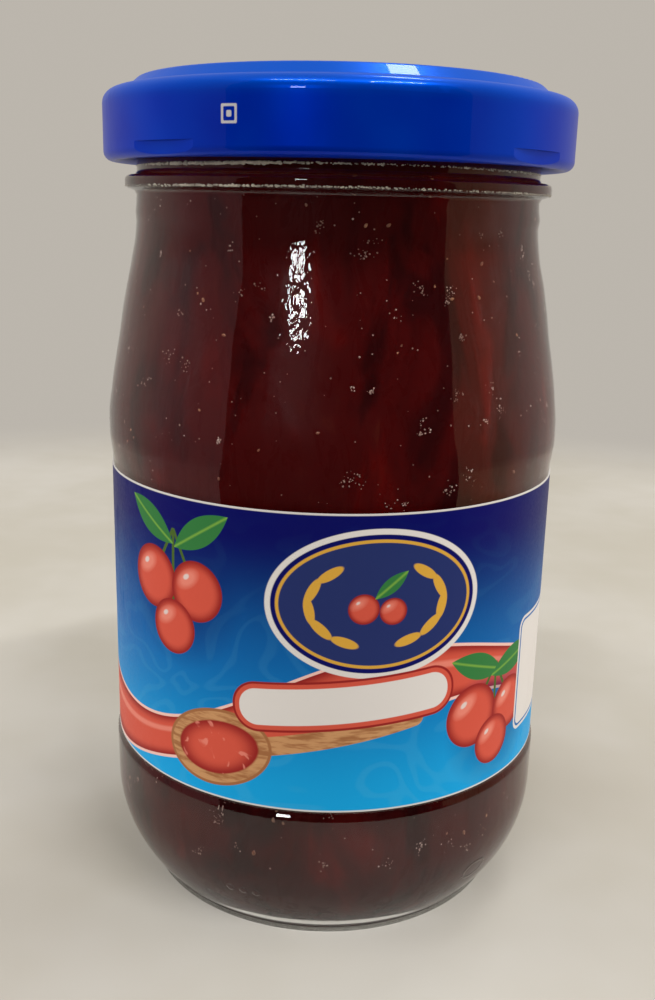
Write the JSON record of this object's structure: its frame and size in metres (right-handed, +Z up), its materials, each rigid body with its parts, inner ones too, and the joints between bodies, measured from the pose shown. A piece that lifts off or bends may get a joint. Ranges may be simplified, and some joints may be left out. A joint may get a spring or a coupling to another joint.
{
  "type": "jam jar",
  "caption": "Clear glass jar of red jam with a sloping shoulder, a paper label wrapped round its straight body and a blue twist-off metal lid.",
  "frame": {"origin": "centre of the base, on the surface the jar stands on", "axes": "+Z up through the lid, the front of the label faces -Y, +X to the right of the front"},
  "size_m": [0.0616, 0.0616, 0.1086],
  "materials": {
    "glass": "clear and glossy",
    "jam": "glossy, dark red, slightly translucent",
    "label": "glossy printed paper",
    "lid": "glossy enamel"
  },
  "bodies": {
    "root": {"jar_glass": "glass", "jam": "jam", "label": "label", "lid": "lid"}
  },
  "joints": []
}
